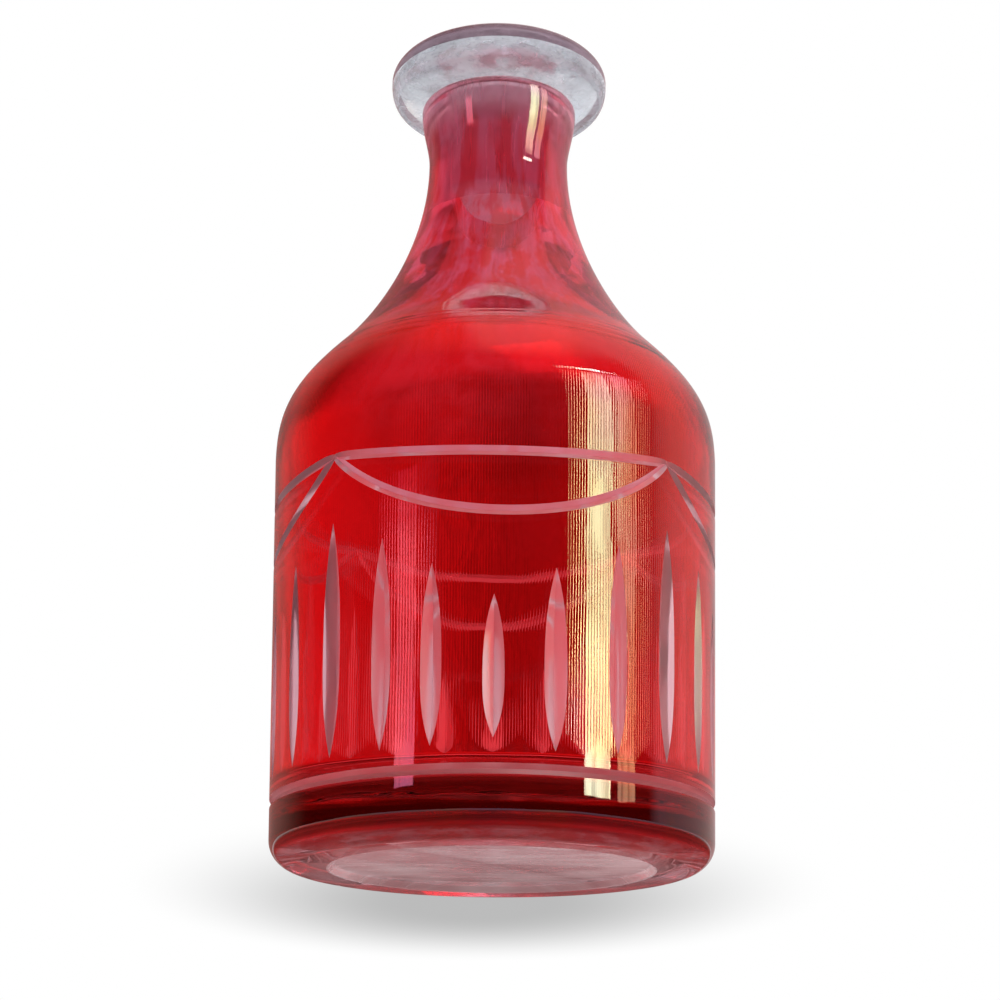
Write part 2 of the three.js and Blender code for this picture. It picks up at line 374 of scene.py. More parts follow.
class CutterTree(Tree):
    """A geometry node tree of V-edged cutters that follow paths over the bottle's wall."""

    def __init__(self, name):
        super().__init__(bpy.data.node_groups.new(name, "GeometryNodeTree"))
        self.tree.interface.new_socket(
            "Geometry", in_out="OUTPUT", socket_type="NodeSocketGeometry"
        )
        self.entry = self.tree.nodes.new("NodeGroupInput")
        self.wanted = {}

    def size(self, name, value, kind="NodeSocketFloat"):
        """A named input, and the value that the modifier gives it."""
        socket = self.tree.interface.new_socket(name, in_out="INPUT", socket_type=kind)
        self.wanted[socket.identifier] = value
        return self.entry.outputs[name]

    def paths(self, count, points):
        """So many splines of so many points each, with the share of the way along each one."""
        line = self.add("GeometryNodeCurvePrimitiveLine").outputs[0]
        fine = self.add("GeometryNodeResampleCurve", {"Curve": line, "Count": points}).outputs[0]
        seats = self.add("GeometryNodeMeshLine", {"Count": count, "Offset": (0, 0, 0)}).outputs[0]
        copies = self.add(
            "GeometryNodeInstanceOnPoints", {"Points": seats, "Instance": fine}
        ).outputs[0]
        curves = self.add("GeometryNodeRealizeInstances", {"Geometry": copies}).outputs[0]
        share = self.add("GeometryNodeSplineParameter").outputs["Factor"]
        number = self.add("GeometryNodeCurveOfPoint").outputs["Curve Index"]
        return curves, share, number

    def swept(self, curves, angle, height, depth, wall):
        """Lays the paths on the wall and sweeps the wheel's V along them, to its depth."""
        cosine = self.math("COSINE", angle)
        sine = self.math("SINE", angle)
        rise = self.math("SUBTRACT", height, wall["bottom"])
        radius = self.math("ADD", wall["radius"], self.math("MULTIPLY", rise, wall["slope"]))
        x = self.math("MULTIPLY", radius, cosine)
        y = self.math("MULTIPLY", radius, sine)
        placed = self.add(
            "GeometryNodeSetPosition", {"Geometry": curves, "Position": self.vector(x, y, height)}
        ).outputs[0]
        facing = self.add(
            "GeometryNodeSetCurveNormal",
            {"Curve": placed, "Normal": self.vector(cosine, sine, 0.0)},
            mode="FREE",
        ).outputs[0]
        half_width = self.math("MULTIPLY", self.math("TANGENT", wall["half_angle"]), 2.0)
        other_side = self.math("MULTIPLY", half_width, -1.0)
        edge = self.add("GeometryNodeCurvePrimitiveQuadrilateral")
        edge.mode = "POINTS"
        self.feed(edge.inputs["Point 1"], (-1.0, 0.0, 0.0))
        self.feed(edge.inputs["Point 2"], self.vector(1.0, other_side, 0.0))
        self.feed(edge.inputs["Point 3"], (1.1, 0.0, 0.0))
        self.feed(edge.inputs["Point 4"], self.vector(1.0, half_width, 0.0))
        sweep = {
            "Curve": facing,
            "Profile Curve": edge.outputs[0],
            "Scale": depth,
            "Fill Caps": True,
        }
        return self.add("GeometryNodeCurveToMesh", sweep).outputs[0]

    def pick(self, index, values):
        """The value whose place in the list is the index."""
        switch = self.add("GeometryNodeIndexSwitch", data_type="FLOAT")
        while len(switch.index_switch_items) < len(values):
            switch.index_switch_items.new()
        self.feed(switch.inputs["Index"], index)
        for i, value in enumerate(values):
            self.feed(switch.inputs[i + 1], value)
        return switch.outputs[0]

    def finish(self, geometry, material):
        whole = self.add("GeometryNodeRealizeInstances", {"Geometry": geometry}).outputs[0]
        dressed = self.add(
            "GeometryNodeSetMaterial", {"Geometry": whole, "Material": material}
        ).outputs[0]
        self.add("NodeGroupOutput", {"Geometry": dressed})

    def made(self, name):
        """The tree's result as an object with a plain mesh."""
        holder = bpy.data.objects.new(name, bpy.data.meshes.new(name))
        bpy.context.collection.objects.link(holder)
        modifier = holder.modifiers.new(name, "NODES")
        modifier.node_group = self.tree
        for identifier, value in self.wanted.items():
            modifier[identifier] = value
        settle(holder)
        return holder


def wall_inputs(tree, bottle, cuts):
    """The named inputs that say where the wall is and how sharp the wheel's edge is."""
    slope = (bottle.shoulder_radius - bottle.base_radius) / (bottle.wall_top - bottle.heel)
    return {
        "bottom": tree.size("Wall Bottom", bottle.heel),
        "radius": tree.size("Wall Radius", bottle.base_radius),
        "slope": tree.size("Wall Slope", slope),
        "half_angle": tree.size("Wheel Half Angle", cuts.wheel_half_angle),
    }


def flute_cutters(bottle, cuts, material):
    """One pointed upright cutter for each flute. Its place under the swag sets its angle, the
    heights of its ends and its depth at the belly."""
    flutes = (
        (math.radians(-29.8), 19.3 * MM, 67.6 * MM, 1.75 * MM),
        (math.radians(-16.9), 19.6 * MM, 60.6 * MM, 1.75 * MM),
        (math.radians(-2.0), 21.2 * MM, 53.2 * MM, 1.75 * MM),
        (math.radians(12.8), 18.6 * MM, 59.8 * MM, 1.9 * MM),
        (math.radians(29.1), 19.3 * MM, 66.8 * MM, 1.75 * MM),
        (math.radians(45.0), 19.2 * MM, 73.6 * MM, 2.0 * MM),
    )
    tree = CutterTree("Flute Cutters")
    wall = wall_inputs(tree, bottle, cuts)
    swags = tree.size("Swags", cuts.swags, "NodeSocketInt")
    belly = tree.size("Belly", cuts.flute_belly)
    fullness = tree.size("Fullness", cuts.flute_fullness)
    points_along = 41
    curves, share, number = tree.paths(tree.math("MULTIPLY", swags, len(flutes)), points_along)

    place = tree.math("MODULO", number, len(flutes))
    swag = tree.math("FLOOR", tree.math("DIVIDE", number, len(flutes)))
    own = []
    for i, name in enumerate(("Angle", "Bottom", "Top", "Depth")):
        values = [tree.size(f"{name} {k + 1}", flute[i]) for k, flute in enumerate(flutes)]
        own.append(tree.pick(place, values))
    turn, bottom, top, depth = own
    middle = tree.math("MULTIPLY_ADD", swag, tree.math("DIVIDE", 2 * math.pi, swags), FRONT)
    angle = tree.math("ADD", middle, turn)
    reach = tree.math("SUBTRACT", top, bottom)
    height = tree.math("MULTIPLY_ADD", share, reach, bottom)

    upper = tree.math("GREATER_THAN", share, belly)
    upper_reach = tree.math("SUBTRACT", 1.0, belly)
    side_reach = tree.math(
        "ADD",
        tree.math("MULTIPLY", upper, upper_reach),
        tree.math("MULTIPLY", tree.math("SUBTRACT", 1.0, upper), belly),
    )
    offset = tree.math("DIVIDE", tree.math("SUBTRACT", share, belly), side_reach)
    thinness = tree.math("POWER", tree.math("ABSOLUTE", offset), fullness)
    cut = tree.math("MULTIPLY", depth, tree.math("SUBTRACT", 1.0, thinness))
    thinnest = 0.01 * MM
    cut = tree.math("MAXIMUM", cut, thinnest)
    tree.finish(tree.swept(curves, angle, height, cut, wall), material)
    return tree.made("flute_cutters")


def swag_cutters(bottle, cuts, material, lowest, first):
    """Cutters for one hanging line of every second swag, so that no two of them touch. The line is
    a circle's arc on the wall laid out flat."""
    tree = CutterTree("Swag Cutters")
    wall = wall_inputs(tree, bottle, cuts)
    swags = tree.size("Swags", cuts.swags, "NodeSocketInt")
    depth = tree.size("Depth", cuts.swag_depth)
    cusp = tree.size("Cusp Height", cuts.cusp_height)
    low = tree.size("Lowest Height", lowest)
    first_swag = tree.size("First Swag", first, "NodeSocketInt")
    points_along = 73
    curves, share, number = tree.paths(tree.math("DIVIDE", swags, 2.0), points_along)

    swag = tree.math("MULTIPLY_ADD", number, 2.0, first_swag)
    half_turn = tree.math("DIVIDE", math.pi, swags)
    sideways = tree.math("MULTIPLY_ADD", share, 2.0, -1.0)
    middle = tree.math("MULTIPLY_ADD", swag, tree.math("MULTIPLY", half_turn, 2.0), FRONT)
    angle = tree.math("MULTIPLY_ADD", sideways, half_turn, middle)

    rise = tree.math("SUBTRACT", cusp, wall["bottom"])
    radius = tree.math("MULTIPLY_ADD", rise, wall["slope"], wall["radius"])
    half_span = tree.math("MULTIPLY", half_turn, radius)
    drop = tree.math("SUBTRACT", cusp, low)
    squares = tree.math(
        "ADD", tree.math("MULTIPLY", half_span, half_span), tree.math("MULTIPLY", drop, drop)
    )
    arc_radius = tree.math("DIVIDE", squares, tree.math("MULTIPLY", drop, 2.0))
    across = tree.math("MULTIPLY", sideways, half_span)
    inside = tree.math(
        "SUBTRACT",
        tree.math("MULTIPLY", arc_radius, arc_radius),
        tree.math("MULTIPLY", across, across),
    )
    climb = tree.math("SUBTRACT", arc_radius, tree.math("SQRT", inside))
    height = tree.math("ADD", low, climb)
    nearness_to_cusp = tree.math("POWER", tree.math("ABSOLUTE", sideways), 24.0)
    lift = -0.5
    cut = tree.math("MULTIPLY", depth, tree.math("MULTIPLY_ADD", nearness_to_cusp, lift, 1.0))
    tree.finish(tree.swept(curves, angle, height, cut, wall), material)
    return tree.made("swag_cutters")


# Objects


def settle(holder):
    """Turns what the modifiers show into the object's own plain mesh and removes them."""
    evaluated = holder.evaluated_get(bpy.context.evaluated_depsgraph_get())
    mesh = bpy.data.meshes.new_from_object(evaluated)
    old = holder.data
    holder.modifiers.clear()
    holder.data = mesh
    mesh.name = holder.name
    bpy.data.meshes.remove(old)


def placed(name, mesh, materials):
    holder = bpy.data.objects.new(name, mesh)
    bpy.context.collection.objects.link(holder)
    for material in materials:
        mesh.materials.append(material)
    return holder


def carved(holder, cutter):
    """Takes a cutter's volume out of a piece. The new faces keep the cutter's material."""
    modifier = holder.modifiers.new("cut", "BOOLEAN")
    modifier.operation = "DIFFERENCE"
    modifier.solver = "MANIFOLD"
    modifier.material_mode = "TRANSFER"
    modifier.object = cutter
    settle(holder)
    bpy.data.objects.remove(cutter)


def smooth_but_sharp(mesh):
    mesh.shade_smooth()
    mesh.set_sharp_from_angle(angle=SHARP_EDGE)


# Materials


class Glass(MaterialTree):
    """A new glass material's tree."""

    def __init__(self, name, roughness=0.0, transmission=1.0):
        super().__init__(name)
        self.show("IOR", GLASS_IOR)
        self.show("Roughness", roughness)
        self.show("Transmission Weight", transmission)

    def pass_scattered(self, share, tint):
        """Lets a ground surface pass scattered light as well as what the shader shows."""
        scatter = self.add("ShaderNodeBsdfTranslucent", {"Color": tint}).outputs[0]
        self.surface(self.blend(share, self.shader.outputs[0], scatter))


def fine_ribs(tree, settings):
    """The fine upright grooves that the mould left on the wall: how deep a point lies in one, and
    the normal there."""
    parts = tree.add("ShaderNodeSeparateXYZ", {"Vector": tree.place})
    x, y, height = (parts.outputs[name] for name in "XYZ")
    angle = tree.math("ARCTAN2", y, x)
    wander = tree.grain(tree.place, (70, 70, 26), 3.0)
    turns = tree.math("MULTIPLY", angle, settings.fine_ribs / (2 * math.pi))
    wander_in_ribs, half_groove, steepest_lean = 1.7, 0.3, 0.10
    phase = tree.math("FRACT", tree.math("MULTIPLY_ADD", wander, wander_in_ribs, turns))
    across = tree.math("DIVIDE", tree.math("SUBTRACT", phase, 0.5), half_groove)
    across = tree.math("MAXIMUM", tree.math("MINIMUM", across, 1.0), -1.0)
    swing = tree.math("MULTIPLY", across, math.pi)
    depth = tree.math("MULTIPLY_ADD", tree.math("COSINE", swing), 0.5, 0.5)
    on_wall = tree.band(height, 17 * MM, 24 * MM, 112 * MM, 121 * MM)
    blotches = tree.grain(tree.place, (45, 45, 18))
    patches = tree.ramp(blotches, 0.34, 0.48, 0.15, 1.0)
    strength = tree.math("MULTIPLY", on_wall, patches)
    depth = tree.math("MULTIPLY", depth, strength)
    strength = tree.math("MULTIPLY", strength, steepest_lean)
    lean = tree.math("MULTIPLY", tree.math("SINE", swing), strength)
    along = tree.vector(
        tree.math("MULTIPLY", tree.math("SINE", angle), -1.0), tree.math("COSINE", angle), 0.0
    )
    turned_along = tree.add(
        "ShaderNodeVectorTransform",
        {"Vector": along},
        vector_type="VECTOR",
        convert_from="OBJECT",
        convert_to="WORLD",
    ).outputs[0]
    push = tree.add(
        "ShaderNodeVectorMath", {"Vector": turned_along, "Scale": lean}, operation="SCALE"
    ).outputs[0]

    # Slight swells all over, and the marks of the tool that shaped the shoulder
    shoulder_top = tree.band(height, 119 * MM, 122 * MM, 126 * MM, 131 * MM)
    tool_marks = tree.math("MULTIPLY", tree.grain(tree.place, (6, 6, 620), 2.0), shoulder_top)
    relief = tree.math("MULTIPLY_ADD", tool_marks, 1.2, tree.noise(tree.place, 70.0, 1.5))
    waves = tree.bump(relief, 0.12 * MM)
    total = tree.places("ADD", waves, push)
    normal = tree.add("ShaderNodeVectorMath", {0: total}, operation="NORMALIZE").outputs[0]
    return depth, normal


def ruby_stain(settings):
    """Ruby stain on the bottle's outside, with the faint lustre of a stain that was fired on. It
    is darkened round the foot by painted shade, worn at the heel, streaky and thin up the neck and
    pale at the rim."""
    tree = Glass("ruby_stain", roughness=0.02)
    height = tree.height

    # How thin it is, in streaks up the neck and in faint clouds on the body
    streaks = tree.grain(tree.place, (230, 230, 9), 3.0, 0.65)
    neck = tree.ramp(height, 119 * MM, 148 * MM)
    neck_thin = tree.math("MULTIPLY", neck, tree.ramp(streaks, 0.42, 0.6, 0.1, 1.0))
    clouds = tree.grain(tree.place, (34, 34, 12), 3.0)
    body_thin = tree.ramp(clouds, 0.5, 0.8, 0.0, 0.012)
    thin = tree.math("MAXIMUM", neck_thin, body_thin)
    red = tree.mix(thin, settings.stain, settings.stain_thin)
    # Painted shade: the stain turns near black round the foot, over the solid base.
    foot = tree.band(height, 1.5 * MM, 4.0 * MM, 12.5 * MM, 13.6 * MM)
    red = tree.mix(foot, red, settings.foot_painted_shade)

    # Where the heel is rubbed, and the pale border at the rim
    scuffs = tree.grain(tree.place, (90, 90, 400), 4.0, 0.7)
    heel = tree.ramp(height, 1.4 * MM, 2.6 * MM, 1.0, 0.0)
    worn = tree.math("MULTIPLY", heel, tree.ramp(scuffs, 0.44, 0.58, 0.1, 0.9))
    red = tree.mix(worn, red, (0.80, 0.52, 0.58))
    rim = tree.ramp(height, 189 * MM, 200 * MM)
    tree.show("Base Color", tree.mix(rim, red, settings.stain_rim))

    # Lustre: a film of so many nanometres, uneven and thicker low down
    blotches = tree.grain(tree.place, (60, 60, 30))
    low = tree.ramp(height, 22 * MM, 75 * MM, 60.0, 0.0)
    film = tree.math("ADD", low, tree.ramp(blotches, 0.35, 0.65, 75.0, 125.0))
    tree.show("Thin Film Thickness", film)
    tree.show("Thin Film IOR", 1.62)

    # The ribs, and the slight mist of the streaks in the neck
    groove, normal = fine_ribs(tree, settings)
    tree.show("Specular IOR Level", tree.math("MULTIPLY_ADD", groove, -0.5, 0.5))
    tree.show("Normal", normal)
    misty = tree.math("MULTIPLY", neck, tree.ramp(streaks, 0.4, 0.62, 0.08, 0.26))
    tree.pass_scattered(misty, (0.92, 0.24, 0.36))
    return tree.material


def clear_inside(settings):
    """The bottle's unstained inner face, blown and slightly uneven."""
    tree = Glass("clear_inside")
    tree.show("Base Color", settings.clear)
    waves = tree.grain(tree.place, (55, 55, 30), 1.5)
    tree.show("Normal", tree.bump(waves, 0.25 * MM))
    return tree.material


def wheel_cut():
    """The faces of the cuts: through the stain into clear glass, left satin by the wheel."""
    tree = Glass("wheel_cut", transmission=0.82)
    grain = tree.grain(tree.place, (260, 260, 40), 2.0)
    tint = tree.mix(grain, (0.94, 0.58, 0.68), (1.0, 0.78, 0.85))
    tree.show("Base Color", tint)
    tree.show("Roughness", tree.ramp(grain, 0.3, 0.7, 0.08, 0.2))
    tree.pass_scattered(0.36, tint)
    return tree.material


def ring_cut():
    """The ring near the foot, ground so lightly that much of the stain is left in it."""
    tree = Glass("ring_cut", roughness=0.3)
    grain = tree.grain(tree.place, (50, 50, 400), 3.0)
    tint = tree.mix(grain, (0.92, 0.24, 0.27), (0.98, 0.66, 0.70))
    tree.show("Base Color", tint)
    tree.pass_scattered(0.45, tint)
    return tree.material


def ground_base():
    """The hollow underneath: clear glass dulled and scuffed by standing on tables."""
    tree = Glass("ground_base", transmission=0.5)
    ring_spacing = 1.1 * MM
    turns = tree.math("MULTIPLY", tree.reach(tree.place), 2 * math.pi / ring_spacing)
    rings = tree.math("SINE", turns)
    scuffs = tree.grain(tree.place, (60, 300, 60), 4.0, 0.6)
    haze = tree.noise(tree.place, 45.0, 2.0)
    milky = tree.math("MULTIPLY_ADD", haze, 0.7, tree.math("MULTIPLY", scuffs, 0.3))
    milky = tree.ramp(milky, 0.35, 0.65)
    tree.show("Base Color", tree.mix(milky, (0.76, 0.48, 0.50), (1.0, 0.84, 0.86)))
    tree.show("Roughness", tree.ramp(scuffs, 0.3, 0.7, 0.12, 0.3))
    relief = tree.math("MULTIPLY_ADD", rings, 0.2, scuffs)
    tree.show("Normal", tree.bump(relief, 0.02 * MM))
    return tree.material


def foot_ring():
    """The stained ring that the decanter stands on, scratched and rubbed through in patches."""
    tree = Glass("foot_ring", transmission=0.97)
    scratches = tree.grain(tree.place, (500, 500, 60), 3.0, 0.7)
    red = tree.mix(scratches, (0.34, 0.0005, 0.001), (0.66, 0.01, 0.02))
    rubbed = tree.ramp(tree.noise(tree.place, 38.0, 3.0, 0.6), 0.46, 0.6, 0.0, 0.75)
    tree.show("Base Color", tree.mix(rubbed, red, (0.86, 0.52, 0.55)))
    tree.show("Roughness", tree.ramp(scratches, 0.45, 0.7, 0.03, 0.25))
    return tree.material


def clear_stopper():
    """The stopper's head: clear glass with cords in it, milky where long use has worn it."""
    tree = Glass("clear_stopper", transmission=0.9)
    waves = tree.grain(tree.place, (90, 90, 120), 2.0)
    wear = tree.grain(tree.place, (160, 160, 420), 4.0, 0.65)
    tree.show("Base Color", tree.mix(wear, (0.80, 0.84, 0.92), (0.97, 0.985, 1.0)))
    tree.show("Roughness", tree.ramp(wear, 0.4, 0.7, 0.01, 0.2))
    tree.show("Normal", tree.bump(waves, 0.3 * MM))
    tree.pass_scattered(tree.ramp(wear, 0.4, 0.62, 0.10, 0.34), (0.88, 0.94, 1.0))
    return tree.material


def stained_edge():
    """The head's edge, which has kept a dull trace of the stain."""
    tree = Glass("stained_edge", roughness=0.12, transmission=0.7)
    wear = tree.grain(tree.place, (110, 110, 300), 3.0)
    tree.show("Base Color", tree.mix(wear, (0.10, 0.05, 0.07), (0.32, 0.18, 0.24)))
    return tree.material


def ground_plug():
    """The plug's side and the bore it fits: ground smooth, with faint upright streaks."""
    tree = Glass("ground_plug", transmission=0.94)
    streaks = tree.grain(tree.place, (420, 420, 30), 3.0)
    tree.show("Base Color", tree.mix(streaks, (0.86, 0.72, 0.78), (0.97, 0.92, 0.94)))
    tree.show("Roughness", tree.ramp(streaks, 0.35, 0.7, 0.12, 0.4))
    tree.pass_scattered(0.25, (0.97, 0.88, 0.92))
    return tree.material


def plug_end():
    """The plug's ground end, which glows with the light that comes down through the stopper."""
    tree = Glass("plug_end", roughness=0.3, transmission=0.6)
    haze = tree.noise(tree.place, 220.0, 3.0)
    tint = tree.mix(haze, (0.88, 0.82, 0.84), (1.0, 0.98, 0.99))
    tree.show("Base Color", tint)
    tree.pass_scattered(0.9, tint)
    return tree.material


# The bottle


def bottle_profile(bottle, cuts):
    """The profile from the underside up the outside and down the inside, with its finishes."""
    stain, cut, base, inside, ground, foot, ring = range(7)
    slope = (bottle.shoulder_radius - bottle.base_radius) / (bottle.wall_top - bottle.heel)

    def on_wall(height):
        return bottle.base_radius + (height - bottle.heel) * slope, height

    # The hollow underside, the ring that it stands on and the heel
    hollow_depth, hollow_radius, foot_radius = 1.6 * MM, 36.8 * MM, 39.2 * MM
    hollow_edge, foot_edge = (hollow_radius + 1.2 * MM, hollow_depth), (foot_radius - 0.9 * MM, 0)
    heel_centre = (bottle.base_radius - bottle.heel, bottle.heel)
    profile = Profile(0, hollow_depth)
    profile.line(base, (12 * MM, hollow_depth), (hollow_radius, hollow_depth))
    profile.bend(base, 6, hollow_edge, foot_edge, (foot_radius, 0))
    profile.line(foot, (heel_centre[0], 0))
    profile.arc(stain, 12, heel_centre, bottle.heel, -90, 0)

    # The wall, with the ring cut into it
    ring_half = 1.2 * MM
    ring_radius, ring_height = on_wall(cuts.ring_height)
    wall_end = (bottle.shoulder_radius, bottle.wall_top)
    profile.line(stain, on_wall(ring_height - ring_half))
    ring_bottom = (ring_radius - cuts.ring_depth, ring_height)
    profile.line(ring, ring_bottom, on_wall(ring_height + ring_half))
    profile.line(stain, on_wall(45 * MM), on_wall(72 * MM), wall_end)

    # The shoulder, the neck and the rim
    shoulder_start = (bottle.shoulder_radius, bottle.wall_top + 11.0 * MM)
    shoulder_edge, shoulder_middle = (53.5 * MM, 116.8 * MM), (41.8 * MM, 128.6 * MM)
    profile.bend(stain, 26, shoulder_start, shoulder_edge, shoulder_middle)
    neck_sweep = (32.5 * MM, 138.0 * MM)
    neck_straight = (bottle.neck_radius, bottle.neck_waist - 25.3 * MM)
    waist = (bottle.neck_radius, bottle.neck_waist)
    profile.bend(stain, 26, neck_sweep, neck_straight, waist)
    rim_round = 1.6 * MM
    rim_side = RIM_TOP - rim_round
    pull = (rim_side - bottle.neck_waist) / 3
    flare_start = (bottle.neck_radius, bottle.neck_waist + pull)
    flare_end = (bottle.rim_radius, rim_side - pull)
    profile.bend(stain, 10, flare_start, flare_end, (bottle.rim_radius, rim_side))
    profile.arc(stain, 8, (bottle.rim_radius - rim_round, rim_side), rim_round, 0, 90)
    mouth = (bottle.mouth_radius, RIM_TOP - MOUTH_BEVEL)
    profile.line(inside, (bottle.mouth_radius + MOUTH_BEVEL, RIM_TOP), mouth)

    # The ground bore, then the inside down to the floor
    profile.line(ground, (bottle.bore_radius, BORE_BOTTOM))
    bore_widening, inner_sweep = (13.0 * MM, 156.6 * MM), (30.5 * MM, 134.0 * MM)
    inner_shoulder, inner_edge = (39.5 * MM, 124.5 * MM), (48.2 * MM, 115.6 * MM)
    profile.bend(inside, 22, bore_widening, inner_sweep, inner_shoulder)
    inner_radius, inner_top = bottle.shoulder_radius - bottle.wall, 99.3 * MM
    inner_bulge = (inner_radius, inner_top + 10.0 * MM)
    profile.bend(inside, 14, inner_edge, inner_bulge, (inner_radius, inner_top))
    corner = 9.0 * MM
    corner_centre = (bottle.base_radius - bottle.wall - corner, bottle.floor_top + corner)
    profile.line(inside, (bottle.base_radius - bottle.wall, corner_centre[1]))
    profile.arc(inside, 12, corner_centre, corner, 0, -90)
    profile.line(inside, (0, bottle.floor_top))
    return profile


class DECANTER_OT_bottle(bpy.types.Operator):
    """Make the bottle: a turned form with flutes and swags cut through its stain"""

    bl_idname = "decanter.bottle"
    bl_label = "Make Bottle"
    bl_options = {"REGISTER", "UNDO"}

    def execute(self, context):
        settings = context.scene.decanter
        cut_finish = wheel_cut()
        finishes = [
            ruby_stain(settings.glass),
            cut_finish,
            ground_base(),
            clear_inside(settings.glass),
            ground_plug(),
            foot_ring(),
            ring_cut(),
        ]
        profile = bottle_profile(settings.bottle, settings.cuts)
        blank = turned("bottle_glass", profile, settings.bottle.turn_steps)
        bottle = placed("bottle_glass", blank, finishes)
        carved(bottle, flute_cutters(settings.bottle, settings.cuts, cut_finish))
        for lowest in (settings.cuts.upper_low, settings.cuts.lower_low):
            for first in range(2):
                cutters = swag_cutters(
                    settings.bottle, settings.cuts, cut_finish, lowest, first
                )
                carved(bottle, cutters)
        smooth_but_sharp(bottle.data)
        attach(bottle, "decanter")
        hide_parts("decanter_body")
        return {"FINISHED"}


# The stopper


def stopper_profile(bottle):
    """The stopper's profile: the plug's end and side, then the head's underside, edge and top."""
    head, plug, edge, end = range(4)
    bore_top = RIM_TOP - MOUTH_BEVEL

    def on_plug(height):
        share = (height - BORE_BOTTOM) / (bore_top - BORE_BOTTOM)
        widening = share * (bottle.mouth_radius - bottle.bore_radius)
        return bottle.bore_radius + widening - FIT_GAP, height

    chamfer = 0.8 * MM
    end_radius, end_height = on_plug(PLUG_BOTTOM)
    profile = Profile(0, end_height)
    profile.line(end, (4 * MM, end_height), (end_radius - chamfer, end_height))
    profile.line(head, on_plug(end_height + chamfer))
    seat = RIM_TOP + FIT_GAP
    profile.line(plug, on_plug(seat))

    cone, lower_round = (26.8 * MM, 203.9 * MM), (27.9 * MM, 204.7 * MM)
    lower_corner, head_radius = (28.5 * MM, 206.2 * MM), 28.6 * MM
    profile.line(head, (20.5 * MM, seat), cone)
    profile.bend(head, 10, lower_round, lower_corner, (head_radius, 208.3 * MM))
    edge_top = 209.6 * MM
    profile.line(edge, (head_radius, edge_top))
    upper_round, upper_corner = (head_radius, edge_top + 1.5 * MM), (27.5 * MM, 213.0 * MM)
    profile.bend(edge, 12, upper_round, upper_corner, (25.2 * MM, 213.9 * MM))
    profile.bend(head, 10, (20 * MM, HEAD_TOP), (10 * MM, HEAD_TOP), (0, HEAD_TOP))
    return profile


class DECANTER_OT_stopper(bpy.types.Operator):
    """Make the stopper: a plug ground to the neck's bore, with a clear disc head"""

    bl_idname = "decanter.stopper"
    bl_label = "Make Stopper"
    bl_options = {"REGISTER", "UNDO"}

    def execute(self, context):
        settings = context.scene.decanter
        finishes = [clear_stopper(), ground_plug(), stained_edge(), plug_end()]
        mesh = turned("stopper_glass", stopper_profile(settings.bottle), 288)
        stopper = placed("stopper_glass", mesh, finishes)
        smooth_but_sharp(stopper.data)
        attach(stopper, "stopper")
        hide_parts("stopper")
        return {"FINISHED"}


# The stage


def light_through(tree, side, rise, z):
    """What is seen through the glass: a grey studio, bright at both sides and straight overhead,
    and dimmest a little right of the middle. Side and rise are x and z, slightly stirred."""
    low = tree.scale(
        side,
        (-0.60, 1.15),
        (-0.25, 1.2),
        (-0.12, 0.75),
        (-0.055, 0.55),
        (-0.02, 0.85),
        (0.012, 0.56),
        (0.04, 0.34),
        (0.075, 0.24),
        (0.10, 0.4),
        (0.20, 0.45),
        (0.36, (0.6, 0.55, 0.55)),
        (0.50, 1.2),
    )
    high = tree.scale(
        side,
        (-0.60, (0.35, 0.20, 0.14)),
        (-0.42, (0.6, 0.46, 0.42)),
        (-0.25, 0.8),
        (0.02, (0.9, 0.94, 1.0)),
        (0.10, (0.95, 0.92, 0.92)),
        (0.28, (1.0, 0.9, 0.82)),
        (0.60, (1.0, 0.95, 0.9)),
    )
    around = tree.mix(tree.ramp(rise, 0.46, 0.54), low, high)
    overhead = (2.8, 2.8, 2.9)
    return tree.mix(tree.ramp(z, 0.88, 0.97), around, overhead)


def light_mirrored(tree, x, y, z, stir):
    """What the glass mirrors: a dark room with dim walls to the right and the left, a warm
    ceiling, and cloudy light that comes from below on the far side."""
    dark = (0.005, 0.004, 0.004)
    azimuth = tree.math("ARCTAN2", x, tree.math("MULTIPLY", y, -1.0))
    right_wall = tree.ramp(azimuth, math.radians(82), math.radians(92))
    left_wall = tree.ramp(azimuth, math.radians(-140), math.radians(-105), 1.0, 0.0)
    seen = tree.mix(right_wall, dark, (0.62, 0.46, 0.46))
    seen = tree.mix(left_wall, seen, (0.4, 0.2, 0.18))

    ceiling = tree.mix(tree.ramp(x, -0.2, -0.05), (0.22, 0.08, 0.04), (0.6, 0.42, 0.40))
    seen = tree.mix(tree.ramp(z, 0.70, 0.97), seen, ceiling)

    far_side = tree.ramp(y, 0.0, 0.3)
    under = tree.math("MULTIPLY", tree.ramp(z, -0.38, -0.2, 1.0, 0.0), far_side)
    cloudy = tree.mix(tree.ramp(stir, 0.35, 0.6), (0.9, 0.95, 1.05), (2.6, 2.8, 3.0))
    cloudy = tree.mix(tree.ramp(z, -0.72, -0.5, 1.0, 0.0), cloudy, (5.0, 5.5, 5.9))
    seen = tree.mix(under, seen, cloudy)

    aside = tree.ramp(tree.math("ABSOLUTE", x), 0.05, 0.09)
    behind = tree.math("MULTIPLY", aside, tree.ramp(y, 0.8, 0.9))
    low_light = tree.math("MULTIPLY", behind, tree.ramp(z, -0.08, -0.04, 1.0, 0.0))
    return tree.mix(low_light, seen, (0.55, 0.46, 0.50))


def light_scattered(tree, y, z):
    """What a dull surface is lit by: grey, brighter from behind than from the camera's side, and
    dim overhead, so that the lamp's shadow shows on the floor."""
    around = tree.mix(tree.ramp(y, -0.3, 0.3), 0.75, 1.5)
    return tree.mix(tree.ramp(z, 0.35, 0.65), around, 0.38)


